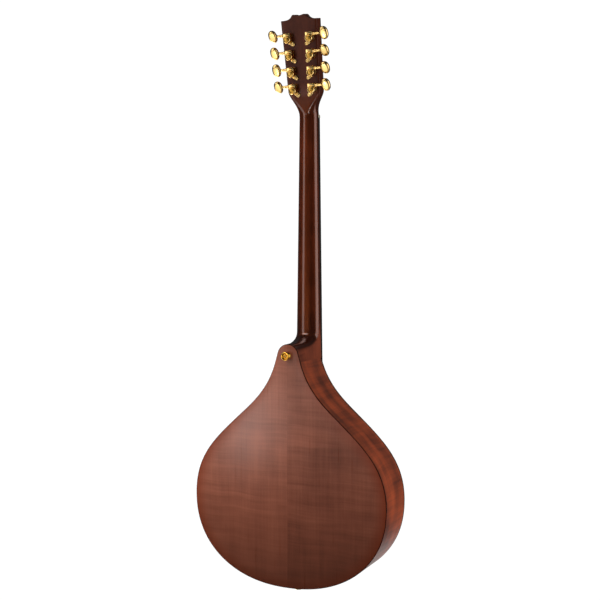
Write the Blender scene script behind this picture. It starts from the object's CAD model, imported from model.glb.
"""Irish bouzouki: fine surfaces, woods and metals, light and camera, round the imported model.

+Z runs up the neck, +Y is the way the back faces, and +X is the treble side. Lengths are in metres.
Most shapes are drawn in the body's axes: x to the treble side, y up from the tail, z out of the soundboard.
"""

import bpy
import bmesh
from itertools import accumulate
from math import atan, cos, degrees, dist, hypot, pi, radians, sin
from mathutils import Matrix, Vector


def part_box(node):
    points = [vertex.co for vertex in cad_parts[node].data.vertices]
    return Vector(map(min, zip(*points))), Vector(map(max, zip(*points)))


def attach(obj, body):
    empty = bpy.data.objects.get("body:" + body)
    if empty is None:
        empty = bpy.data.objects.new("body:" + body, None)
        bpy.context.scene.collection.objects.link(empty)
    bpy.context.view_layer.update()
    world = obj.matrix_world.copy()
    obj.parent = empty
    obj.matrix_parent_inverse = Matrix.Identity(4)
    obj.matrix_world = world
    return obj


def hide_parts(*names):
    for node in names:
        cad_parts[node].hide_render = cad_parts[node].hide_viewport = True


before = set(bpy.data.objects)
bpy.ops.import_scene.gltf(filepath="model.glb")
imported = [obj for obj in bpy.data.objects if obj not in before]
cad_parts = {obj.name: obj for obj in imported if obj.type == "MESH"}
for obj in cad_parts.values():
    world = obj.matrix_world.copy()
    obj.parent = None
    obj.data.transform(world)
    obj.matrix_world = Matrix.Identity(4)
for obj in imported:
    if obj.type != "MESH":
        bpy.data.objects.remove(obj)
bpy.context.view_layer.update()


def mm(*places):
    """Places given in millimetres."""
    return [tuple(value / 1000 for value in place) for place in places]


GAP = 0.0003
BODY_DEPTH = 0.091
BODY_HALF_WIDTH = 0.176
WIDEST_HEIGHT = 0.148
BOTTOM_ROUNDNESS = 2.19
SHOULDER = (0.0947, 0.2855)
SHOULDER_SLOPE = radians(42)
JOINT_HALF_WIDTH = 0.0231
JOINT_HEIGHT = 0.383
JOINT_FLARE = 0.28
TONGUE_RADIUS = 0.0195
TONGUE_HEIGHT = JOINT_HEIGHT + 0.51 * TONGUE_RADIUS
BACK_THICKNESS = 0.003
BACK_EDGE_RADIUS = 0.0016
BACK_ARCH = 0.0012
BACK_ARCH_WIDTH = 0.024
EVEN_INSET = 0.003
TONGUE_INSET = 0.35
TIGHT_START = 0.30
SHOULDER_PULLS = (0.46, 0.41, 0.49)
RIB_THICKNESS = 0.0022
SOUNDBOARD_THICKNESS = 0.0028
BINDING_WIDTH = 0.002
BINDING_DEPTH = 0.0036
SOUNDHOLE = (0.044, 0.031)
SOUNDHOLE_HEIGHT = 0.263
INLAY_REACH = 1.17
BRIDGE_HEIGHT = 0.137
SCALE_LENGTH = 0.660
NUT_HEIGHT = BRIDGE_HEIGHT + SCALE_LENGTH
NUT_LENGTH = 0.005
NUT_END = NUT_HEIGHT + NUT_LENGTH
NUT_DEPTH = 0.0091
NUT_HALF_WIDTH = 0.0165
NECK_JOINT_HALF_WIDTH = 0.0218
NECK_DEPTH_AT_NUT = 0.016
NECK_DEPTH_AT_HEEL = 0.019
NECK_ROUNDNESS = 2.05
NECK_FLAT_SIDE = 0.0025
HEEL_TOP = JOINT_HEIGHT + 0.050
HEEL_HOLLOW = 3.1
FINGERBOARD_THICKNESS = 0.0075
FRETS = 22
DOT_FRETS = (3, 5, 7, 10, 12, 15, 17, 19)
DOUBLE_DOT = 12
DOT_RADIUS = 0.0028
HEAD_TILT = radians(11)
HEAD_THICKNESS = 0.0165
VENEER_THICKNESS = 0.0016
HEAD_SIDE = mm((0, 16.6), (7, 16.9), (15, 18.3), (22, 21.3), (30, 25.8), (36, 28.8), (41, 29.9))
HEAD_TOP_HALF_WIDTH = 0.0332
HEAD_LENGTH = 0.1601
HEAD_STEP = 0.0017
CROWN = mm((33.2, 0), (25.5, 0.1), (19, 1.2), (14.8, 3.6), (12.2, 6.8), (9.8, 8.7), (6, 7.7), (0, 6.4))
POST_OFFSETS = tuple(0.0174 + 0.0028 * row / 3 for row in range(4))
FIRST_ROW = 0.044
ROW_STEP = 0.0283
WORM_OFFSET = 0.0065
GEAR_LEVEL = 0.0055
HOUSING_HEIGHT = 0.0112
BUTTON_DISTANCE = 0.0195
BUTTON_SIZE = (0.0080, 0.0113, 0.0039)
LUG = (-0.0076, -0.0088)
LUG_RADIUS = 0.0032
STEPS_AT_BRIDGE = (0.0138, 0.0032)
STEPS_AT_NUT = (0.0080, 0.0026)
STEPS_AT_TAIL = (0.0130, 0.0042)
POST_RADIUS = 0.0030
POST_WAIST = 0.0027
POST_BORE = 0.0042
POST_END = 0.0150
WINDING_LEVELS = (0.0042, 0.0064, 0.0064, 0.0064)
BUTTON_TURNS = {"bass": (24, 30, 34, 22), "treble": (30, 20, 26, 32)}
STRING_RADII = {"bass": (0.00055, 0.00055, 0.00040, 0.00040),
                "treble": (0.00018, 0.00018, 0.00025, 0.00025)}
SADDLE_TOP = 0.0130
BRIDGE_HALF_WIDTH = 0.0055
TAIL_TOP = 0.0065
TAIL_THICKNESS = 0.0015
TAIL_END = 0.068
TAIL_DROP = -0.058
TAIL_HALF_WIDTH = 0.030
TAIL_STEM = 0.0190
SIGN = {"bass": -1, "treble": 1}
ROWS = 4
ROOM_LIGHT = 0.03
WHITE_LIGHT = 1.05
FLOOR_HEIGHT = -1.6
CAMERA_TURN = radians(24.411)
CAMERA_DIP = radians(2.672)
CAMERA_PLACE = (-0.78624, 1.68112, 0.5729)
LENS = 67.0
FILM_WIDTH = 36.0


def at(x, y, z):
    return Matrix.Translation((x, y, z))


def spin(angle, axis):
    return Matrix.Rotation(angle, 4, axis)


FRONT_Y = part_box("soundboard")[0][1]
BODY_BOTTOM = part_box("rib_treble")[0][2]
JOINT_Z = BODY_BOTTOM + JOINT_HEIGHT
NUT_Z = BODY_BOTTOM + NUT_END
BODY = Matrix(((1, 0, 0, 0), (0, 0, -1, FRONT_Y), (0, 1, 0, BODY_BOTTOM), (0, 0, 0, 1)))
TO_HEAD = at(0, NUT_END, 0) @ spin(-HEAD_TILT, "X")
HEAD = BODY @ TO_HEAD
STRINGS = [(side, row) for side in SIGN for row in range(ROWS)]


# Node materials

class Nodes:
    """A material's node tree, filled by short calls."""

    def __init__(self, name):
        self.material = bpy.data.materials.new(name)
        self.material.use_nodes = True
        self.tree = self.material.node_tree
        self.shader = self.tree.nodes["Principled BSDF"]

    def add(self, kind, inputs=None, **settings):
        node = self.tree.nodes.new("ShaderNode" + kind)
        for key, value in settings.items():
            setattr(node, key, value)
        for key, value in (inputs or {}).items():
            self.fill(node.inputs[key], value)
        return node

    def fill(self, socket, value):
        if isinstance(value, bpy.types.NodeSocket):
            self.tree.links.new(value, socket)
        else:
            socket.default_value = value

    def math(self, operation, a, b=0.0, clamp=False):
        return self.add("Math", {0: a, 1: b}, operation=operation, use_clamp=clamp).outputs[0]

    def plus(self, a, b):
        return self.math("ADD", a, b)

    def minus(self, a, b):
        return self.math("SUBTRACT", a, b)

    def times(self, a, b):
        return self.math("MULTIPLY", a, b)

    def size(self, value):
        return self.math("ABSOLUTE", value)

    def place(self, attribute=None):
        """Coordinates in metres: the piece's own, or those stored along a bent board."""
        if attribute:
            vector = self.add("Attribute", attribute_name=attribute).outputs["Vector"]
        else:
            vector = self.add("TexCoord").outputs["Object"]
        return tuple(self.add("SeparateXYZ", {0: vector}).outputs)

    def noise(self, place, scales, detail=2.0, roughness=0.5, distortion=0.0):
        """Noise with its own scale in each direction."""
        spot = [value if scale == 1 else self.times(value, scale) for value, scale in zip(place, scales)]
        vector = self.add("CombineXYZ", dict(enumerate(spot))).outputs[0]
        return self.add("TexNoise", {"Vector": vector, "Scale": 1.0, "Detail": detail,
                                     "Roughness": roughness, "Distortion": distortion}).outputs[0]

    def blend(self, amount, a, b):
        mix = self.add("Mix", data_type="RGBA")
        self.fill(mix.inputs[0], amount)
        self.fill(mix.inputs[6], a)
        self.fill(mix.inputs[7], b)
        return mix.outputs[2]

    def span(self, value, low, high, to_low=0.0, to_high=1.0):
        return self.add("MapRange", {0: value, 1: low, 2: high, 3: to_low, 4: to_high}).outputs[0]

    def swing(self, noise, low=0.0, high=1.0):
        """Carry the middle range of a noise to another range."""
        return self.span(noise, 0.3, 0.7, low, high)

    def bump(self, height, distance, strength=1.0):
        normal = self.add("Bump", {"Height": height, "Distance": distance, "Strength": strength})
        self.fill(self.shader.inputs["Normal"], normal.outputs[0])

    def shade(self, **values):
        for key, value in values.items():
            self.fill(self.shader.inputs[key.replace("_", " ")], value)
        return self.material


def rgb(red, green, blue):
    return (red, green, blue, 1.0)


def maple_figure(n, across, along, half, cloudy):
    """How light figured maple is, from fine grain along the board, narrow flame across it and soft clouds."""
    drift = n.noise((across, half, along), (14, 1, 9), 1)
    waved = n.plus(along, n.times(drift, 0.012))
    flame = n.noise((across, half, waved), (9, 3, 260), 3, 0.62)
    grain = n.noise((across, half, along), (330, 1, 7), 3, 0.6)
    pores = n.noise((across, half, along), (1300, 1, 90), 2, 0.7)
    cloud = n.noise((across, n.plus(half, 4.3), along), (30, 1, 9))
    wave = n.noise((across, n.plus(half, 7.7), waved), (7, 1, 80))
    figure = n.plus(n.span(flame, 0.25, 0.75, -0.20, 0.20), n.span(grain, 0.25, 0.75, -0.18, 0.18))
    for noise, reach in ((pores, 0.08), (wave, 0.16), (cloud, cloudy)):
        figure = n.plus(figure, n.swing(noise, -reach, reach))
    return figure, grain


def back_maple():
    """Two matched halves of stained maple, redder at the rim, darker at the tail, with a thin black edge."""
    n = Nodes("back_maple")
    x, _, z = n.place()
    half = n.math("GREATER_THAN", x, 0.0)
    figure, grain = maple_figure(n, n.size(x), z, half, 0.22)
    figure = n.plus(figure, n.times(n.minus(half, 0.5), 0.40))
    colour = n.blend(n.plus(figure, 0.5), rgb(0.21, 0.054, 0.027), rgb(0.46, 0.133, 0.071))
    edge = n.add("Attribute", attribute_name="edge").outputs["Fac"]
    border = n.math("POWER", n.span(edge, 0.001, BACK_ARCH_WIDTH, 1.0, 0.0), 1.5)
    strength = n.span(z, JOINT_Z - 0.02, BODY_BOTTOM + 0.24, 0.15, 0.85)
    colour = n.blend(n.times(border, strength), colour, rgb(0.30, 0.045, 0.012))
    shade = n.span(z, BODY_BOTTOM + 0.005, BODY_BOTTOM + 0.150, 0.75, 0.0)
    colour = n.blend(shade, colour, rgb(0.12, 0.031, 0.015))
    seam = n.span(n.size(x), 0.00012, 0.00035, 0.10, 0.0)
    line = n.span(edge, 0.0009, 0.0013, 0.92, 0.0)
    colour = n.blend(n.math("MAXIMUM", seam, line), colour, rgb(0.020, 0.006, 0.003))
    n.bump(grain, 0.00003, 0.6)
    return n.shade(Base_Color=colour, Roughness=n.plus(n.swing(grain, 0.27, 0.33), n.times(line, 0.4)),
                   Specular_IOR_Level=0.35,
                   Specular_Tint=n.blend(line, rgb(1.0, 0.97, 0.92), rgb(0.15, 0.09, 0.07)))


def side_maple():
    """Stained maple that runs round the rim."""
    n = Nodes("side_maple")
    along, _, across = n.place("grain")
    figure, grain = maple_figure(n, across, along, 0.0, 0.45)
    n.bump(grain, 0.00003, 0.6)
    return n.shade(Base_Color=n.blend(n.plus(figure, 0.5), rgb(0.15, 0.040, 0.023), rgb(0.60, 0.118, 0.044)),
                   Roughness=n.swing(grain, 0.30, 0.38), Specular_IOR_Level=0.35)


def neck_wood():
    """Dark neck wood: lacquer over a warm sheen on the neck and heel, satin on the back of the head."""
    n = Nodes("neck_wood")
    place = n.place()
    height = place[2]
    streak = n.noise(place, (190, 190, 4), 3, 0.6)
    pores = n.noise(place, (1500, 1500, 110), 2, 0.7)
    cloud = n.noise(place, (20, 20, 16))
    share = n.math("ADD", n.swing(streak, 0.0, 0.45), n.span(cloud, 0.35, 0.65, 0.0, 0.55), clamp=True)
    head = n.span(height, NUT_Z + 0.004, NUT_Z + 0.050)
    facing = n.add("SeparateXYZ", {0: n.add("TexCoord").outputs["Normal"]}).outputs[0]
    flank = n.span(n.size(facing), 0.80, 0.985)
    low = n.times(n.span(height, JOINT_Z + 0.075, JOINT_Z + 0.030), flank)
    dusk = n.span(height, JOINT_Z + 0.085, JOINT_Z + 0.045, 0.0, 0.75)
    dark = rgb(0.012, 0.004, 0.003)
    colour = n.blend(share, rgb(0.026, 0.004, 0.001), rgb(0.140, 0.022, 0.006))
    colour = n.blend(dusk, colour, dark)
    colour = n.blend(head, colour, n.blend(share, rgb(0.074, 0.015, 0.006), rgb(0.130, 0.027, 0.011)))
    colour = n.blend(low, colour, n.blend(share, rgb(0.16, 0.039, 0.021), rgb(0.40, 0.088, 0.040)))
    colour = n.blend(n.span(pores, 0.60, 0.75, 0.0, 0.35), colour, dark)
    n.bump(pores, 0.00002, n.span(head, 0.0, 1.0, 0.05, 0.5))
    sheen = n.blend(head, rgb(1.0, 0.22, 0.05), rgb(0.16, 0.12, 0.11))
    sheen = n.blend(low, sheen, rgb(0.22, 0.16, 0.14))
    gloss = n.math("SUBTRACT", 1.0, n.math("MAXIMUM", head, low), clamp=True)
    return n.shade(Base_Color=colour, Roughness=0.34, IOR=1.7, Specular_IOR_Level=0.6, Specular_Tint=sheen,
                   Coat_Weight=n.span(gloss, 0.0, 1.0, 0.1, 1.0), Coat_Roughness=0.05)


def dark_wood(name, dark, light, roughness):
    n = Nodes(name)
    place = n.place()
    streak = n.noise(place, (420, 420, 9), 3, 0.6)
    pores = n.noise(place, (1600, 1600, 150), 2, 0.7)
    n.bump(pores, 0.00003, 0.6)
    return n.shade(Base_Color=n.blend(n.swing(streak), dark, light),
                   Roughness=n.swing(streak, roughness - 0.04, roughness + 0.04))


def spruce():
    """Quartered spruce: straight dark year lines, closer at the seam, and a plain inlaid ring."""
    n = Nodes("spruce")
    x, _, z = n.place()
    across = n.size(x)
    wander = n.noise((across, 0.0, z), (30, 1, 3))
    phase = n.plus(n.times(across, 3600), n.times(wander, 14))
    line = n.math("POWER", n.span(n.math("SINE", phase), -1.0, 1.0), 3.0)
    silk = n.noise((across, 1.0, z), (60, 1, 420))
    cloud = n.noise((across, 2.0, z), (9, 1, 6))
    colour = n.blend(n.swing(cloud), rgb(0.46, 0.22, 0.075), rgb(0.58, 0.31, 0.12))
    colour = n.blend(n.times(line, 0.42), colour, rgb(0.26, 0.095, 0.03))
    colour = n.blend(n.span(silk, 0.45, 0.75, 0.0, 0.16), colour, rgb(0.70, 0.45, 0.22))
    wide = n.math("DIVIDE", x, SOUNDHOLE[0])
    tall = n.math("DIVIDE", n.minus(z, BODY_BOTTOM + SOUNDHOLE_HEIGHT), SOUNDHOLE[1])
    reach = n.math("SQRT", n.plus(n.times(wide, wide), n.times(tall, tall)))
    beside = n.size(n.minus(reach, INLAY_REACH))
    colour = n.blend(n.span(beside, 0.042, 0.048, 1.0, 0.0), colour, rgb(0.012, 0.009, 0.008))
    colour = n.blend(n.span(beside, 0.018, 0.022, 1.0, 0.0), colour, rgb(0.60, 0.46, 0.27))
    n.bump(line, 0.00003, 0.4)
    return n.shade(Base_Color=colour, Roughness=0.33)


def plain_wood():
    n = Nodes("inner_wood")
    streak = n.noise(n.place(), (260, 260, 12), 3, 0.6)
    n.bump(streak, 0.0001, 0.4)
    return n.shade(Base_Color=n.blend(streak, rgb(0.36, 0.22, 0.11), rgb(0.58, 0.40, 0.23)), Roughness=0.75)


def gold(name, dark, light, roughness):
    """Polished gold plate with faint polishing marks and a duller film in places."""
    n = Nodes(name)
    place = n.place()
    film = n.noise(place, (170, 170, 170), 3)
    n.bump(n.noise(place, (900, 900, 5200)), 0.00001, 0.25)
    return n.shade(Base_Color=n.blend(n.swing(film), dark, light), Metallic=1.0,
                   Roughness=n.swing(film, roughness, roughness + 0.08))


def steel(name, colour, roughness, turns=0.0):
    """Plain wire, or wire with a fine winding that runs round it."""
    n = Nodes(name)
    place = n.place()
    film = n.noise(place, (400, 400, 60))
    if turns:
        wave = n.math("SINE", n.times(place[2], 2 * pi * turns))
        n.bump(wave, 0.00006, 0.8)
        colour = n.blend(n.span(wave, -1.0, 1.0), rgb(*(0.45 * c for c in colour[:3])), colour)
    else:
        n.bump(film, 0.00001, 0.3)
    return n.shade(Base_Color=colour, Metallic=1.0,
                   Roughness=n.swing(film, roughness - 0.05, roughness + 0.05))


def bone():
    n = Nodes("bone")
    cloud = n.noise(n.place(), (220, 220, 60), 3)
    n.bump(cloud, 0.00002, 0.3)
    return n.shade(Base_Color=n.blend(cloud, rgb(0.60, 0.51, 0.35), rgb(0.78, 0.71, 0.56)), Roughness=0.30,
                   Subsurface_Weight=0.15, Subsurface_Scale=0.002)


def pearl():
    n = Nodes("pearl")
    cloud = n.noise(n.place(), (500, 500, 350), 3, 0.5, 2)
    n.bump(cloud, 0.00001, 0.2)
    return n.shade(Base_Color=n.blend(cloud, rgb(0.50, 0.55, 0.52), rgb(0.85, 0.80, 0.74)), Roughness=0.18)


BACK_MAPLE = back_maple()
SIDE_MAPLE = side_maple()
NECK_WOOD = neck_wood()
EBONY = dark_wood("ebony", rgb(0.008, 0.006, 0.005), rgb(0.024, 0.017, 0.013), 0.42)
BLACK = dark_wood("black_trim", rgb(0.005, 0.005, 0.005), rgb(0.012, 0.010, 0.010), 0.26)
SPRUCE = spruce()
INNER_WOOD = plain_wood()
GOLD = gold("gold_plate", rgb(0.93, 0.61, 0.20), rgb(1.0, 0.70, 0.28), 0.17)
OLD_GOLD = gold("dull_gold", rgb(0.52, 0.28, 0.045), rgb(0.66, 0.38, 0.08), 0.24)
DEEP_GOLD = gold("deep_gold", rgb(0.80, 0.42, 0.045), rgb(0.95, 0.55, 0.09), 0.22)
PLAIN_STRING = steel("plain_string", rgb(0.62, 0.61, 0.60), 0.25)
WOUND_STRING = steel("wound_string", rgb(0.72, 0.47, 0.25), 0.33, 2400.0)
WIRES = {"bass": (WOUND_STRING, "wound_string"), "treble": (PLAIN_STRING, "plain_string")}
STEEL = steel("steel", rgb(0.50, 0.50, 0.51), 0.34)
FRET_METAL = steel("fret_metal", rgb(0.60, 0.58, 0.53), 0.24)
BONE = bone()
PEARL = pearl()


# Meshes

def link(item):
    bpy.context.scene.collection.objects.link(item)


def finished(shape):
    mesh = bpy.data.meshes.new("piece")
    shape.to_mesh(mesh)
    shape.free()
    return mesh


def loft(rings, caps=True, closed=False):
    """A skin over rings of equally many points, from the first ring to the last."""
    shape = bmesh.new()
    rows = [[shape.verts.new(point) for point in ring] for ring in rings]
    count = len(rows[0])
    pairs = list(zip(rows, rows[1:]))
    if closed:
        pairs.append((rows[-1], rows[0]))
    for lower, upper in pairs:
        for i in range(count):
            j = (i + 1) % count
            shape.faces.new((lower[i], lower[j], upper[j], upper[i]))
    if caps and not closed:
        shape.faces.new(reversed(rows[0]))
        shape.faces.new(rows[-1])
    bmesh.ops.recalc_face_normals(shape, faces=shape.faces)
    return finished(shape)


def circle(steps):
    return [(cos(2 * pi * i / steps), sin(2 * pi * i / steps)) for i in range(steps)]


def turned(profile, steps=48):
    """A shape turned about z, from a profile that starts and ends on the axis."""
    shape = bmesh.new()
    top = shape.verts.new((0, 0, profile[0][1]))
    foot = shape.verts.new((0, 0, profile[-1][1]))
    rows = [[shape.verts.new((radius * c, radius * s, level)) for c, s in circle(steps)]
            for radius, level in profile[1:-1]]
    for i in range(steps):
        j = (i + 1) % steps
        shape.faces.new((top, rows[0][i], rows[0][j]))
        shape.faces.new((foot, rows[-1][j], rows[-1][i]))
        for upper, lower in zip(rows, rows[1:]):
            shape.faces.new((upper[i], lower[i], lower[j], upper[j]))
    bmesh.ops.recalc_face_normals(shape, faces=shape.faces)
    return finished(shape)


def rod(radius, half, steps):
    """A plain round bar along z, to cut holes with."""
    return turned([(0, half), (radius, half), (radius, -half), (0, -half)], steps)


def flat(loop, level):
    return [(x, y, level) for x, y in loop]


def shrink(loop, amount):
    """A closed outline, counter-clockwise, moved inwards."""
    result = []
    for i, (x, y) in enumerate(loop):
        ax, ay = loop[i - 1]
        bx, by = loop[(i + 1) % len(loop)]
        first = Vector((x - ax, y - ay)).normalized()
        second = Vector((bx - x, by - y)).normalized()
        bend = max(0.5, (1 + first.dot(second)) / 2) ** 0.5
        along = (first + second).normalized()
        result.append((x - along.y * amount / bend, y + along.x * amount / bend))
    return result


def slab(loop, low, high, edge):
    """A flat outline between two levels, with rounded upper and lower edges."""
    rounding = [(edge * (1 - sin(a)), edge * (1 - cos(a))) for a in (pi * i / 6 for i in range(4))]
    steps = [(amount, low + rise) for amount, rise in rounding]
    steps += [(amount, high - rise) for amount, rise in reversed(rounding)]
    return loft([flat(shrink(loop, amount), level) for amount, level in steps])


def rounded_box(low, high, edge):
    shape = bmesh.new()
    size = [b - a for a, b in zip(low, high)]
    middle = [(a + b) / 2 for a, b in zip(low, high)]
    bmesh.ops.create_cube(shape, size=1, matrix=Matrix.Translation(middle) @ Matrix.Diagonal((*size, 1)))
    bmesh.ops.bevel(shape, geom=list(shape.edges), offset=edge, segments=3, profile=0.5, affect="EDGES")
    return finished(shape)


def tube(points, radius, sides=10):
    """A round wire along points, with closed ends."""
    points = [Vector(point) for point in points]
    rings = []
    for before, point, after in zip(points[:1] + points, points, points[1:] + points[-1:]):
        run = (after - before).normalized()
        side = run.cross(Vector((0, 0, 1)) if abs(run.z) < 0.9 else Vector((0, 1, 0))).normalized()
        rise = side.cross(run)
        rings.append([point + radius * (c * side + s * rise) for c, s in circle(sides)])
    return loft(rings)


def merged(*meshes):
    shape = bmesh.new()
    for mesh in meshes:
        shape.from_mesh(mesh)
    return finished(shape)


def moved(mesh, matrix):
    mesh = mesh.copy()
    mesh.transform(matrix)
    return mesh


def mirrored(mesh):
    copy = moved(mesh, Matrix.Diagonal((-1, 1, 1, 1)))
    copy.flip_normals()
    return copy


def carved(mesh, *cutters):
    """A mesh less others."""
    items = [bpy.data.objects.new("draft", shape) for shape in (mesh, *cutters)]
    for item in items:
        link(item)
    for item in items[1:]:
        items[0].modifiers.new("cut", "BOOLEAN").object = item
    bpy.context.view_layer.update()
    result = bpy.data.meshes.new_from_object(items[0].evaluated_get(bpy.context.evaluated_depsgraph_get()))
    for item in items:
        bpy.data.objects.remove(item)
    return result


def store(mesh, name, kind, values):
    """Keep one number or vector for each point of a mesh."""
    layer = mesh.attributes.new(name, kind, "POINT")
    if kind == "FLOAT":
        layer.data.foreach_set("value", values)
    else:
        layer.data.foreach_set("vector", [number for value in values for number in value])


def piece(name, mesh, material, nodes=(), body="instrument", place=BODY, angle=32):
    mesh = moved(mesh, place)
    mesh.name = name
    mesh.materials.clear()
    mesh.materials.append(material)
    mesh.shade_smooth()
    mesh.set_sharp_from_angle(angle=radians(angle))
    item = bpy.data.objects.new(name, mesh)
    link(item)
    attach(item, body)
    if nodes:
        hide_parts(*nodes)
    return item


# Outlines

def bezier(start, first, second, end, steps):
    points = []
    for step in range(1, steps + 1):
        t = step / steps
        u = 1 - t
        points.append(tuple(u ** 3 * a + 3 * u * u * t * b + 3 * u * t * t * c + t ** 3 * d
                            for a, b, c, d in zip(start, first, second, end)))
    return points


def arc(centre, radius, start, end, steps):
    angles = [radians(start + (end - start) * step / steps) for step in range(steps + 1)]
    return [(centre[0] + radius * cos(a), centre[1] + radius * sin(a)) for a in angles]


def body_side(steps=44):
    """The treble side of the body's outline, from the tail up to the neck joint."""
    points = [(0.0, 0.0)]
    power = 2 / BOTTOM_ROUNDNESS
    for step in range(1, steps):
        angle = pi / 2 * step / steps
        points.append((BODY_HALF_WIDTH * sin(angle) ** power, WIDEST_HEIGHT * (1 - cos(angle) ** power)))
    points.append((BODY_HALF_WIDTH, WIDEST_HEIGHT))
    rise = JOINT_HEIGHT - SHOULDER[1]
    lower = SHOULDER_PULLS[0] * (SHOULDER[1] - WIDEST_HEIGHT)
    upper = SHOULDER_PULLS[1] * rise
    last = SHOULDER_PULLS[2] * rise
    across, down = cos(SHOULDER_SLOPE), sin(SHOULDER_SLOPE)
    points += bezier((BODY_HALF_WIDTH, WIDEST_HEIGHT), (BODY_HALF_WIDTH, WIDEST_HEIGHT + lower),
                     (SHOULDER[0] + lower * across, SHOULDER[1] - lower * down), SHOULDER, steps)
    points += bezier(SHOULDER, (SHOULDER[0] - upper * across, SHOULDER[1] + upper * down),
                     (JOINT_HALF_WIDTH + JOINT_FLARE * last, JOINT_HEIGHT - last),
                     (JOINT_HALF_WIDTH, JOINT_HEIGHT), steps)
    return points


def inset(points, amount, tight=1.0):
    """Move the outline of one side inwards, square to its own run, less far where the tongue is tight."""
    result = []
    near = min(amount, EVEN_INSET)
    for i, (x, y) in enumerate(points):
        ease = max(0.0, min(1.0, (y - TIGHT_START) / (JOINT_HEIGHT - TIGHT_START)))
        reach = near + (amount - near) * (1 - (1 - tight) * ease)
        before = points[i - 1] if i else (-points[1][0], points[1][1])
        after = points[min(i + 1, len(points) - 1)]
        dx = after[0] - before[0]
        dy = after[1] - before[1]
        length = hypot(dx, dy)
        result.append((x - reach * dy / length, y + reach * dx / length))
    return result


def rim_side(amount, short):
    """The treble side of the body moved inwards, and ended short of the neck joint."""
    side = inset(SIDE, amount)
    side[-1] = (side[-1][0], JOINT_HEIGHT - short)
    return side


def both_sides(points):
    return points + [(-x, y) for x, y in reversed(points) if x > 1e-6]


def neck_half_width(height):
    share = (NUT_HEIGHT - height) / (NUT_HEIGHT - JOINT_HEIGHT)
    return NUT_HALF_WIDTH + share * (NECK_JOINT_HALF_WIDTH - NUT_HALF_WIDTH)


def head_half_width(distance):
    """The head's half-width at a distance along it, smoothed between its stated places."""
    places = HEAD_SIDE + [(HEAD_LENGTH, HEAD_TOP_HALF_WIDTH), (2 * HEAD_LENGTH, HEAD_TOP_HALF_WIDTH)]
    total = 0.0
    for shift in (-0.003, -0.0015, 0.0, 0.0015, 0.003):
        spot = max(distance + shift, 0.0)
        for (near, low), (far, high) in zip(places, places[1:]):
            if spot <= far:
                total += low + (high - low) * (spot - near) / (far - near)
                break
    return total / 5


def crown_side():
    """The treble side of the head's crown, with its stated places joined by smooth curves."""
    points = [(x, HEAD_LENGTH + rise) for x, rise in CROWN]
    points = points[:1] + points + points[-1:]
    result = points[:1]
    for before, start, end, after in zip(points, points[1:], points[2:], points[3:]):
        first = tuple(a + (c - b) / 6 for a, b, c in zip(start, before, end))
        second = tuple(a - (c - b) / 6 for a, b, c in zip(end, start, after))
        result += bezier(start, first, second, end, 6)
    return result


def post_place(side, row):
    return POST_OFFSETS[row] * SIGN[side], FIRST_ROW + ROW_STEP * row


def post_bores():
    """Holes through the head for the eight posts, in the head's axes."""
    bore = rod(POST_BORE, 0.03, 24)
    return merged(*(moved(bore, at(*post_place(*string), 0)) for string in STRINGS))


SIDE = body_side()


# Body

def tongue(steps=8):
    lean = atan(JOINT_FLARE)
    top = (TONGUE_RADIUS * cos(lean), TONGUE_HEIGHT + TONGUE_RADIUS * sin(lean))
    reach = (top[1] - JOINT_HEIGHT) / 3
    points = bezier((JOINT_HALF_WIDTH, JOINT_HEIGHT),
                    (JOINT_HALF_WIDTH - JOINT_FLARE * reach, JOINT_HEIGHT + reach),
                    (top[0] + JOINT_FLARE * reach, top[1] - reach), top, steps)
    return points + arc((0, TONGUE_HEIGHT), TONGUE_RADIUS, degrees(lean), 90, 20)[1:]


def back_plate():
    """The back, nearly flat, falling a little towards its rounded edge."""
    outline = SIDE + tongue()
    outline[-1] = (0.0, outline[-1][1])

    def fall(amount):
        return BACK_ARCH * (1 - min(amount / BACK_ARCH_WIDTH, 1.0)) ** 2

    levels = [(0.0, BACK_THICKNESS), (0.0, BACK_EDGE_RADIUS + fall(0))]
    for angle in range(10, 91, 10):
        amount = BACK_EDGE_RADIUS * (1 - cos(radians(angle)))
        levels.append((amount, fall(amount) + BACK_EDGE_RADIUS * (1 - sin(radians(angle)))))
    levels += [(amount, fall(amount))
               for amount in (0.0032, 0.0050, 0.0075, 0.0105, 0.014, 0.0185, BACK_ARCH_WIDTH)]
    rings = []
    edges = []
    for amount, depth in levels:
        loop = both_sides(inset(outline, amount, TONGUE_INSET))
        rings.append(flat(loop, depth - BODY_DEPTH))
        edges += [amount] * len(loop)
    mesh = loft(rings)
    store(mesh, "edge", "FLOAT", edges)
    piece("back", mesh, BACK_MAPLE, ("back_treble_half", "back_bass_half"))


def band(outer, inner, low, high, edge=0.0):
    """A strip round the body between two insets and two levels, and its places along the board."""
    wide, narrow = (rim_side(amount, GAP / 10) for amount in (outer, inner))
    wide, narrow = ([(-x, y) for x, y in reversed(side[1:])] + side for side in (wide, narrow))
    rings = []
    places = []
    run = 0.0
    for i, (a, b) in enumerate(zip(wide, narrow)):
        if i:
            run += dist(a, wide[i - 1])
        share = edge / max(outer + inner, 1e-9)
        cut = tuple(p + (q - p) * share for p, q in zip(a, b))
        rings.append([(*a, low), (*a, high - edge), (*cut, high), (*b, high), (*b, low)])
        places += [(run, 0.0, level) for level in (low, high - edge, high, high, low)]
    mesh = loft(rings)
    store(mesh, "grain", "FLOAT_VECTOR", places)
    return mesh


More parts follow.
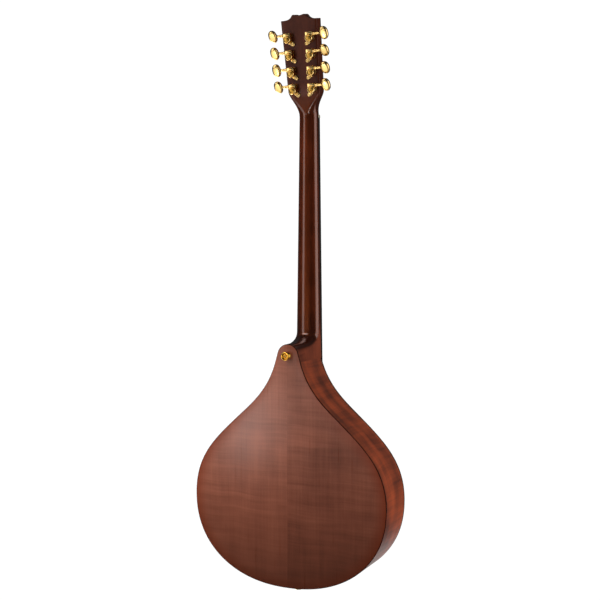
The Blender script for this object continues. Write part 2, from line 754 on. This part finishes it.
def make_body():
    back_plate()
    piece("sides", band(0.0, RIB_THICKNESS, GAP / 2 - BODY_DEPTH + BACK_THICKNESS, -BINDING_DEPTH - GAP / 6),
          SIDE_MAPLE, ("rib_treble", "rib_bass"))
    piece("binding", band(0.0, BINDING_WIDTH, -BINDING_DEPTH, 0.0, 0.0005), BLACK, ("edge_binding",))
    rim = both_sides(rim_side(BINDING_WIDTH, GAP))
    runs = list(accumulate((dist(a, b) for a, b in zip(rim, rim[1:] + rim[:1])), initial=0.0))
    angles = [2 * pi * run / runs[-1] - pi / 2 for run in runs[:-1]]
    wide, hole = ([(size * SOUNDHOLE[0] * cos(a), SOUNDHOLE_HEIGHT + size * SOUNDHOLE[1] * sin(a))
                   for a in angles] for size in (1.012, 1.0))
    low = -SOUNDBOARD_THICKNESS
    rings = [flat(rim, low), flat(rim, 0.0), flat(wide, 0.0), flat(hole, -0.0005), flat(hole, low)]
    piece("soundboard_face", loft(rings, closed=True), SPRUCE, ("soundboard",))


# Neck

def ring(place, direction, half_width, rounding, length, roundness, spread=None):
    """A section of the neck: round at the back, straight at its sides, flat in front."""
    half = []
    for step in range(25):
        angle = pi / 2 * step / 24
        depth = rounding * (1 - max(cos(angle), 0.0) ** (2 / roundness))
        half.append((half_width * sin(angle) ** (2 / roundness), depth))
    for share in (0.3, 0.5, 0.65, 0.75, 0.84, 0.92, 1.0):
        half.append((half_width, rounding + share * (length - rounding)))
    points = []
    for width, depth in half:
        spot = place + depth * direction
        extra = spread(spot, width, half_width) if spread else 0.0
        points.append(Vector((width + extra, spot.y, spot.z)))
    return points[:0:-1] + [Vector((-p.x, p.y, p.z)) for p in points]


def heel_spread(spot, width, half_width):
    """How far the heel's sides spread, to the fingerboard's edge and to the body's outline at the joint."""
    forward = 1 + spot.z / (BODY_DEPTH - BACK_THICKNESS)
    extra = forward * (neck_half_width(spot.y) - half_width) * (width / half_width) ** 3
    if width < half_width:
        return extra
    start = TONGUE_HEIGHT + TONGUE_RADIUS / 2
    share = max(0.0, min(1.0, (start - spot.y) / (start - JOINT_HEIGHT)))
    return extra + (JOINT_HALF_WIDTH - half_width - extra) * share ** 2


def heel_rings():
    front = BODY_DEPTH - BACK_THICKNESS
    below = HEEL_TOP - JOINT_HEIGHT
    depth_run = front - NECK_DEPTH_AT_HEEL
    rise = HEEL_TOP - TONGUE_HEIGHT - TONGUE_RADIUS
    power = 2 / HEEL_HOLLOW
    corner = atan((front * rise / (below * depth_run)) ** (1 / power))
    angles = [corner * i / 20 for i in range(21)]
    angles += [corner + (pi / 2 - corner) * i / 24 for i in range(1, 25)]
    rings = []
    for angle in angles:
        reach = Vector((0, -rise * max(cos(angle), 0) ** power, depth_run * sin(angle) ** power))
        direction = reach.normalized()
        limit = below / max(-direction.y, 0.001) if angle <= corner else front / direction.z
        share = angle / (pi / 2)
        place = Vector((0, HEEL_TOP, -front)) + reach
        rounding = TONGUE_RADIUS + share * (NECK_DEPTH_AT_HEEL - NECK_FLAT_SIDE - TONGUE_RADIUS)
        width = TONGUE_RADIUS + share * (neck_half_width(max(place.y, TONGUE_HEIGHT)) - TONGUE_RADIUS)
        rings.append(ring(place, direction, width, rounding, limit - reach.length,
                          2 + share * (NECK_ROUNDNESS - 2), heel_spread))
    return rings


def neck_rings():
    forwards = Vector((0, 0, 1))
    rings = []
    for step in range(1, 13):
        share = step / 12
        height = HEEL_TOP + share * (NUT_HEIGHT - HEEL_TOP)
        depth = NECK_DEPTH_AT_HEEL + share * (NECK_DEPTH_AT_NUT - NECK_DEPTH_AT_HEEL)
        rings.append(ring(Vector((0, height, -depth)), forwards, neck_half_width(height),
                          depth - NECK_FLAT_SIDE, depth, NECK_ROUNDNESS))
    places = [0.0025 + HEAD_STEP * step for step in range(24)]
    places += [0.05, 0.08, 0.12, HEAD_LENGTH, HEAD_LENGTH + 0.02]
    for place in places:
        share = min(place / 0.041, 1.0)
        depth = HEAD_THICKNESS + (1 - share) ** 2 * (NECK_DEPTH_AT_NUT - HEAD_THICKNESS)
        roundness = NECK_ROUNDNESS + share ** 2 * 17.0
        section = ring(Vector((0, place, -depth)), forwards, head_half_width(place), depth - NECK_FLAT_SIDE,
                       depth, roundness)
        rings.append([TO_HEAD @ point for point in section])
    return rings


def above_crown():
    """All that is above the head's crown, to cut the neck's last section to shape."""
    loop = both_sides([(0.07, HEAD_LENGTH + 0.03), (0.07, HEAD_LENGTH)] + crown_side())
    return loft([flat(loop, level) for level in (-0.04, 0.04)])


def make_neck():
    bores = post_bores()
    neck = carved(loft(heel_rings() + neck_rings()), moved(above_crown(), TO_HEAD),
                  moved(bores, TO_HEAD))
    piece("neck_wood", neck, NECK_WOOD, ("neck",), angle=40)

    side = [(head_half_width(place), place) for place in (0.0004 + HEAD_STEP * step for step in range(26))]
    loop = both_sides(side + crown_side())
    veneer = loft([flat(loop, GAP / 2), flat(loop, VENEER_THICKNESS),
                   flat(shrink(loop, 0.0003), GAP + VENEER_THICKNESS)])
    pocket = rounded_box((-0.0055, -0.01, -0.01), (0.0055, 0.024, 0.01), 0.0004)
    piece("head_face", carved(veneer, pocket, bores), BLACK, ("head_veneer",), place=HEAD)


def fret_height(number):
    return NUT_HEIGHT - SCALE_LENGTH * (1 - 2 ** (-number / 12))


def make_fingerboard():
    low = fret_height(FRETS) - 0.004
    top = FINGERBOARD_THICKNESS
    loop = both_sides([(neck_half_width(low), low), (neck_half_width(NUT_HEIGHT), NUT_HEIGHT - GAP)])
    rings = [flat(loop, GAP / 2), flat(loop, top - 0.0006), flat(shrink(loop, 0.0006), top)]
    piece("fingerboard_wood", loft(rings), EBONY, ("fingerboard",), angle=20)
    frets = []
    for number in range(1, FRETS + 1):
        height = fret_height(number)
        half = neck_half_width(height) - 0.0003
        section = [(height + 0.0012 * cos(a), top + 0.0011 * sin(a))
                   for a in (pi * k / 10 for k in range(11))]
        sizes = ((-half, 0.25), (-half + 0.0008, 1.0), (half - 0.0008, 1.0), (half, 0.25))
        frets.append(loft([[(x, y, top + (z - top) * size) for y, z in section] for x, size in sizes]))
    piece("frets", merged(*frets), FRET_METAL)
    dot = turned([(0, top + 0.00006), (DOT_RADIUS - 0.0001, top + 0.00006), (DOT_RADIUS, top - 0.001),
                  (0, top - 0.001)], 28)
    dots = []
    for number in DOT_FRETS:
        middle = (fret_height(number) + fret_height(number - 1)) / 2
        for x in ((-0.006, 0.006) if number == DOUBLE_DOT else (0.0,)):
            dots.append(moved(dot, at(x, middle, 0)))
    piece("position_dots", merged(*dots), PEARL)


def along_x(profile, half, edge=0.0004):
    """A profile of heights and levels, carried along x."""
    turn = Matrix(((0, 0, 1, 0), (1, 0, 0, 0), (0, 1, 0, 0), (0, 0, 0, 1)))
    return moved(slab(profile, -half, half, edge), turn)


def make_nut_and_rod():
    low, high = NUT_HEIGHT, NUT_END
    rear = NUT_DEPTH - 1.2 * NUT_LENGTH * sin(HEAD_TILT)
    profile = [(low, GAP), (high, GAP), (high, rear), (low + 0.0028, NUT_DEPTH - 0.0005),
               (low + 0.0012, NUT_DEPTH), (low, NUT_DEPTH - 0.0001)]
    piece("nut_bone", along_x(profile, NUT_HALF_WIDTH), BONE, ("nut",))
    base = 2 * GAP + VENEER_THICKNESS
    cover = mm((9.5, 3.2), (10, 11), (9.6, 17.5), (8, 23), (6, 28), (4.4, 33.5), (3.3, 38.5), (1.8, 41.3),
               (0, 41.6))
    screws = [moved(screw_head(0.0016, 0.0008), at(*spot, base + 0.0018))
              for spot in ((-0.0068, 0.0070), (0.0068, 0.0070), (0, 0.0368))]
    piece("rod_cover", slab(both_sides(cover), base, base + 0.0018, 0.0004), EBONY, ("truss_rod_cover",),
          place=HEAD)
    piece("rod_cover_screws", merged(*screws), GOLD, place=HEAD)


def screw_head(radius, rise):
    """A domed head with a cross recess, standing on z = 0."""
    profile = [(0, rise), (0.5 * radius, 0.93 * rise), (0.85 * radius, 0.62 * rise), (radius, 0.15 * rise),
               (radius, -rise), (0, -rise)]
    head = turned(profile, 24)
    width = 0.16 * radius
    reach = 0.62 * radius
    bars = [rounded_box((-x, -y, 0.3 * rise), (x, y, 2 * rise), 0.2 * width)
            for x, y in ((reach, width), (width, reach))]
    return carved(head, *bars)


# Tuners

def housing_mesh():
    """x runs outwards, y up the head, z away from the head's back."""
    shoulder = WORM_OFFSET + 0.0037
    flange = (arc((0, 0), 0.0073, 0, -88, 14)[::-1] + [(0.0068, shoulder - 0.0008), (0.0060, shoulder)]
              + [(-0.0058, shoulder), (-0.0066, shoulder - 0.0008), (-0.0066, -0.0032)]
              + arc(LUG, LUG_RADIUS, 170, 290, 14))
    foot = slab(flange, GAP / 2, 0.0018, 0.0004)
    top = HOUSING_HEIGHT
    profile = [(0, top - 0.0011), (0.0049, top - 0.0010), (0.0050, top - 0.0003), (0.0053, top),
               (0.0058, top - 0.0001), (0.0063, top - 0.0006), (0.0067, top - 0.0016), (0.0069, top - 0.0032),
               (0.0069, 0.0024), (0.0072, 0.0018), (0.0072, 0.0012), (0, 0.0012)]
    dome = turned(profile, 48)
    tunnel = rounded_box((-0.0063, 0.0024, 0.001),
                         (0.0064, WORM_OFFSET + 0.0036, GEAR_LEVEL + 0.0036), 0.0009)
    worm_axis = at(0, WORM_OFFSET, GEAR_LEVEL) @ spin(pi / 2, "Y")
    bush = mm((0, 11.2), (2.4, 11.2), (2.7, 10.9), (2.7, 9.2), (3.1, 9), (3.1, 8.4), (2.7, 8.2), (2.7, 7.8),
              (3.4, 7.5), (3.6, 7), (3.4, 6.4), (3.4, 4), (0, 4))
    lug = [(0, 0.0022), (0.0027, 0.0022), (LUG_RADIUS, 0.0017), (LUG_RADIUS, 0.0010), (0, 0.0010)]
    lug_place = at(*LUG, 0)
    screw = moved(screw_head(0.0022, 0.0010), lug_place @ at(0, 0, 0.0022))
    bush = moved(turned(bush, 40), worm_axis)
    return merged(foot, dome, tunnel, bush, moved(turned(lug, 32), lug_place), screw)


def cap_mesh():
    """The shallow domed cap in the housing's rim."""
    drops = mm((0, 0.3), (1.6, 0.33), (3, 0.45), (4.1, 0.7), (4.7, 1), (4.7, 1.5), (0, 1.5))
    return turned([(radius, HOUSING_HEIGHT - drop) for radius, drop in drops], 40)


def front_mesh():
    """The washer and hexagon nut on the head's face, in the housing's axes."""
    face = HEAD_THICKNESS + VENEER_THICKNESS + 2 * GAP
    flip = at(0, 0, -face) @ spin(pi, "X")
    washer = turned(mm((0, 0.5), (6.6, 0.5), (7, 0.3), (7, 0), (0, 0)), 40)
    nut = slab(arc((0, 0), 0.0060, 0, 300, 5), 0.0002, 0.0018, 0.0004)
    bore = rod(0.0031, 0.01, 32)
    return moved(carved(nut, bore), flip), moved(carved(washer, bore), flip)


def button_mesh(turn):
    """A flattened oval button on its worm shaft, along x."""
    rings = []
    across, tall, thick = BUTTON_SIZE
    for step in range(1, 16):
        angle = pi * step / 16 - pi / 2
        level = thick * (abs(sin(angle)) ** 0.75) * (1 if angle > 0 else -1)
        size = max(cos(angle), 0.0) ** 0.42
        loop = []
        for c, s in circle(48):
            x = abs(c) ** 0.84 * (1.0 if c > 0 else -0.88)
            y = abs(s) ** 0.88 * (1 if s > 0 else -1)
            loop.append((size * across * x, size * tall * y, level))
        rings.append(loop)
    grip = moved(loft(rings), at(BUTTON_DISTANCE + 0.86 * across, 0, 0))
    grip = moved(grip, spin(radians(turn), "X"))
    shaft = mm((0, 23.5), (3.4, 23.2), (3.4, 20.6), (3, 19.6), (2.2, 18.6), (2.1, 18), (2.1, 14),
               (2.5, 13.7), (2.5, 13), (2.1, 12.7), (2.1, 11.6), (1.5, 11.5), (1.5, 10), (1.4, 3),
               (1.3, -3.5), (0, -3.6))
    return merged(grip, moved(turned(shaft, 32), spin(pi / 2, "Y")))


def post_mesh(row, radius, sign):
    """A string post and its turns of string. z points out of the head's face."""
    face = HEAD_THICKNESS + GAP + VENEER_THICKNESS
    band_level = face + WINDING_LEVELS[row]
    top = face + POST_END
    profile = [(0, top), (0.0016, top - 0.0001), (0.0024, top - 0.0004), (0.0029, top - 0.0010),
               (POST_RADIUS, top - 0.0018), (POST_RADIUS, top - 0.0048), (0.0026, band_level + 0.0018),
               (0.0026, band_level - 0.0016), (POST_RADIUS, band_level - 0.0021), (POST_RADIUS, -0.004),
               (0, -0.004)]
    post = turned(profile, 40)
    hole = moved(rod(0.0009, 0.01, 16), at(0, 0, band_level + 0.0024) @ spin(pi / 2, "Y"))
    post = carved(post, hole)
    turns = min(5, int(0.0030 / (2.1 * radius)))
    reach = POST_WAIST + radius
    points = []
    for step in range(20 * turns + 1):
        angle = 2 * pi * step / 20
        level = band_level - 0.0010 + 2.05 * radius * step / 20
        points.append((reach * cos(angle + pi) * sign, reach * sin(angle + pi), level))
    return post, tube(points, radius, 8)


def make_tuners():
    housing = housing_mesh()
    nut, washer = front_mesh()
    flip = spin(pi, "Y")
    for side, row in STRINGS:
        sign = SIGN[side]
        shell = housing if side == "bass" else mirrored(housing)
        label = "_" + side + "_" + str(row + 1)
        place = HEAD @ at(*post_place(side, row), -HEAD_THICKNESS)
        piece("housing" + label, merged(shell, nut, washer), GOLD, ("tuner_housing" + label,),
              place=place @ flip, angle=28)
        piece("housing_cap" + label, cap_mesh(), OLD_GOLD, (), place=place @ flip)
        post, coil = post_mesh(row, STRING_RADII[side][row], sign)
        piece("post" + label, post, GOLD, ("string_post" + label,), "post" + label, place)
        piece("post_coil" + label, coil, WIRES[side][0], (), "post" + label, place, 60)
        worm = place @ at(0, WORM_OFFSET, -GEAR_LEVEL)
        outwards = worm @ flip if side == "bass" else worm
        piece("button" + label, button_mesh(-sign * BUTTON_TURNS[side][row]), GOLD, ("tuner_button" + label,),
              "button" + label, outwards, 35)


# Strings

def string_offset(side, row, steps):
    """How far from the middle a string runs, given the steps from course to course and inside a pair."""
    course = 1.5 if row < 2 else 0.5
    outer = 0.5 if row % 2 == 0 else -0.5
    return SIGN[side] * (course * steps[0] + outer * steps[1])


def peg_place(side, row):
    return string_offset(side, row, STEPS_AT_TAIL), TAIL_END - (0.004 if row % 2 == 0 else 0.009)


def make_strings():
    for side, row in STRINGS:
        radius = STRING_RADII[side][row]
        x, y = peg_place(side, row)
        start = (x, y + 0.0014, 0.0086)
        at_bridge = (string_offset(side, row, STEPS_AT_BRIDGE), BRIDGE_HEIGHT, SADDLE_TOP + GAP / 3 + radius)
        at_nut = (string_offset(side, row, STEPS_AT_NUT), NUT_HEIGHT + 0.0006, NUT_DEPTH + GAP / 3 + radius)
        px, along = post_place(side, row)
        px -= SIGN[side] * (POST_RADIUS - 0.0003 + radius)
        end = TO_HEAD @ Vector((px, along, GAP + VENEER_THICKNESS + WINDING_LEVELS[row] - 0.0010))
        eye = [(a, b, 0.0083) for a, b in arc((x, y), 0.0013 + radius, 70, -250, 16)]
        label = side + "_" + str(row + 1)
        mesh = merged(tube([start, at_bridge, at_nut, end], radius, 10), tube(eye, radius, 8))
        piece("wire_" + label, mesh, WIRES[side][0], ("string_" + label,), angle=60)


def make_bridge():
    side = mm((0, 3.4), (6, 3.4), (10.5, 3), (13.5, 1.8)) + [(0.017, GAP), (0.056, GAP)]
    side += mm((56, 3), (54.5, 4.3), (50, 4.8), (44, 6.2), (38.5, 8.4), (33.5, 10.2), (29, 10.7))
    place = BODY @ at(0, BRIDGE_HEIGHT, 0)
    bar = moved(slab(both_sides(side), -BRIDGE_HALF_WIDTH, BRIDGE_HALF_WIDTH, 0.0006), spin(pi / 2, "X"))
    slot = rounded_box((-0.0288, -0.0015, 0.0075), (0.0288, 0.0015, 0.02), 0.0001)
    piece("bridge_wood", carved(bar, slot), EBONY, ("bridge",), place=place)
    piece("saddle_bone", rounded_box((-0.0285, -0.0012, 0.0078), (0.0285, 0.0012, SADDLE_TOP), 0.0005), BONE,
          ("saddle",), place=place)


def make_tailpiece():
    rim = -2 * GAP
    outer = rim - TAIL_THICKNESS
    bend = (0.0032, 0.0016)
    profile = [(outer, TAIL_DROP), (rim, TAIL_DROP), (rim, bend[1])] + arc(bend, 0.0034, 180, 95, 8)[1:]
    profile += [(TAIL_END, TAIL_TOP - TAIL_THICKNESS), (TAIL_END, TAIL_TOP)] + arc(bend, 0.0050, 92, 180, 10)
    wide = TAIL_HALF_WIDTH
    waist = [(0.04, -0.07), (TAIL_STEM, -0.07), (TAIL_STEM, TAIL_DROP), (TAIL_STEM, 0.010)]
    waist += mm((19.4, 22), (20.7, 33), (23.5, 42), (26.8, 49), (29.2, 55))
    waist += [(wide, 0.062), (wide, TAIL_END), (wide, 0.08), (0.04, 0.08)]
    cutter = loft([flat(waist, level) for level in (-0.08, 0.03)])
    plate = carved(along_x(profile[::-1], wide, 0.0001), mirrored(cutter), cutter)
    peg = turned(mm((0, 4.2), (0.9, 4.1), (1.4, 3.6), (1.4, 3.1), (1, 2.8), (1, -0.5), (0, -0.5)), 20)
    pegs = [moved(peg, at(*peg_place(*string), TAIL_TOP)) for string in STRINGS]
    piece("tail_plate", merged(plate, *pegs), GOLD, ("tailpiece",), angle=28)


def strap_profile(foot):
    """A mushroom with a hollow top, standing on the level of its foot."""
    stalk = mm((0, 7.8), (3.4, 7.8), (4.2, 8.4), (4.8, 10), (5.5, 10.7), (6.3, 10.8), (7, 10.3), (7.4, 9.3),
               (7.3, 8.3), (6.6, 7.5), (5, 6.6), (4, 5.6), (3.8, 4.6), (3.8, 3.4), (4.3, 2.2), (5.4, 1.2),
               (5.8, 0.6), (5.8, 0), (0, 0))
    return [(radius, foot + rise) for radius, rise in stalk]


def make_strap_buttons():
    outwards = BODY @ at(0, TONGUE_HEIGHT, -BODY_DEPTH) @ spin(pi, "X")
    knob = turned(strap_profile(GAP / 2), 56)
    piece("strap_knob", knob, DEEP_GOLD, ("strap_button",), place=outwards)
    head = moved(screw_head(0.0031, 0.0019), at(0, 0, 0.0081))
    piece("strap_screw", head, OLD_GOLD, ("strap_button_screw",), place=outwards)
    foot = -3 * GAP - TAIL_THICKNESS
    downwards = BODY @ at(0, foot, -BODY_DEPTH / 2) @ spin(pi / 2, "X")
    piece("end_knob", turned(strap_profile(0), 56), GOLD, ("end_pin",), place=downwards)


make_body()
make_neck()
make_fingerboard()
make_nut_and_rod()
make_tuners()
make_bridge()
make_tailpiece()
make_strings()
make_strap_buttons()

for name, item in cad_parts.items():
    if any(word in name for word in ("block", "truss_rod", "lining", "brace")):
        item.data.materials.clear()
        item.data.materials.append(STEEL if name == "truss_rod" else INNER_WOOD)


# Stage, light and camera

def make_world():
    """White ahead of the camera, and a dim room as the object sees it."""
    world = bpy.data.worlds.new("studio")
    bpy.context.scene.world = world
    world.use_nodes = True
    tree = world.node_tree
    tree.nodes.clear()
    out = tree.nodes.new("ShaderNodeOutputWorld")
    path = tree.nodes.new("ShaderNodeLightPath")
    mix = tree.nodes.new("ShaderNodeMixShader")
    tree.links.new(path.outputs["Is Camera Ray"], mix.inputs[0])
    for socket, strength in ((1, ROOM_LIGHT), (2, WHITE_LIGHT)):
        light = tree.nodes.new("ShaderNodeBackground")
        light.inputs[0].default_value = rgb(1, 1, 1)
        light.inputs[1].default_value = strength
        tree.links.new(light.outputs[0], mix.inputs[socket])
    tree.links.new(mix.outputs[0], out.inputs[0])


def make_floor():
    mesh = bpy.data.meshes.new("floor")
    mesh.from_pydata([(-40, -60, 0), (40, -60, 0), (40, 40, 0), (-40, 40, 0)], [], [(0, 1, 2, 3)])
    floor = bpy.data.objects.new("floor", mesh)
    floor.location = (0, 0, FLOOR_HEIGHT)
    link(floor)
    n = Nodes("pale_floor")
    n.shade(Base_Color=rgb(0.86, 0.86, 0.85), Roughness=0.8)
    glow = n.add("Emission", {"Color": rgb(1, 1, 1), "Strength": WHITE_LIGHT})
    path = n.add("LightPath")
    mix = n.add("MixShader", {0: path.outputs["Is Camera Ray"], 1: n.shader.outputs[0], 2: glow.outputs[0]})
    n.tree.links.new(mix.outputs[0], n.tree.nodes["Material Output"].inputs[0])
    mesh.materials.append(n.material)


def softbox(name, turn, rise, distance, width, height, glow, target, spread=180):
    """A panel that faces the target, turned from the back's own direction towards +X and raised."""
    turn, rise = radians(turn), radians(rise)
    way = Vector((sin(turn) * cos(rise), cos(turn) * cos(rise), sin(rise)))
    data = bpy.data.lights.new(name, "AREA")
    data.shape = "RECTANGLE"
    data.size = width
    data.size_y = height
    data.energy = glow * pi * width * height
    data.spread = radians(spread)
    light = bpy.data.objects.new(name, data)
    light.location = Vector(target) + distance * way
    light.rotation_euler = way.to_track_quat("Z", "Y").to_euler()
    light.visible_camera = False
    link(light)


def make_camera():
    """The photo's own view, with the place given from the back's plane and the tail."""
    data = bpy.data.cameras.new("camera")
    data.lens = LENS
    data.sensor_width = FILM_WIDTH
    camera = bpy.data.objects.new("camera", data)
    camera.location = Vector((0, FRONT_Y + BODY_DEPTH, BODY_BOTTOM)) + Vector(CAMERA_PLACE)
    look = Vector((sin(CAMERA_TURN) * cos(CAMERA_DIP), -cos(CAMERA_TURN) * cos(CAMERA_DIP), -sin(CAMERA_DIP)))
    camera.rotation_euler = look.to_track_quat("-Z", "Y").to_euler()
    link(camera)
    bpy.context.scene.camera = camera


bpy.context.scene.view_settings.view_transform = "Standard"
make_world()
make_floor()
# Name, turn, rise, distance, width, height, glow, target and spread
softbox("key", 40, 0, 1.2, 0.36, 0.9, 1.9, (0, 0, 0.75))
softbox("overhead", 30, 48, 1.6, 1.13, 0.63, 0.80, (0.07, 0.047, 0.3), 70)
softbox("side", -97, 0, 1.5, 1.2, 1.8, 2.0, (0, 0, 0.5))
softbox("glow", 27, -8, 0.45, 0.07, 0.16, 9.5, (0.08, 0.047, 0.291))
softbox("horizon", 26, -9.5, 10.5, 4.5, 1.1, 1.2, (0, 0, 0.75))
softbox("table", 40, -55, 0.6, 0.9, 0.75, 0.17, (0, 0, 0.93), 60)
softbox("front", 125, -35, 2.2, 1.6, 1.2, 6.5, (0, 0, 0.45))
softbox("window", 8, 0, 1.0, 0.45, 0.06, 8.0, (0, 0, 0.335))
softbox("backdrop", 167, -24, 3.0, 2.2, 1.2, 0.7, (0, 0, 0.1))
make_camera()
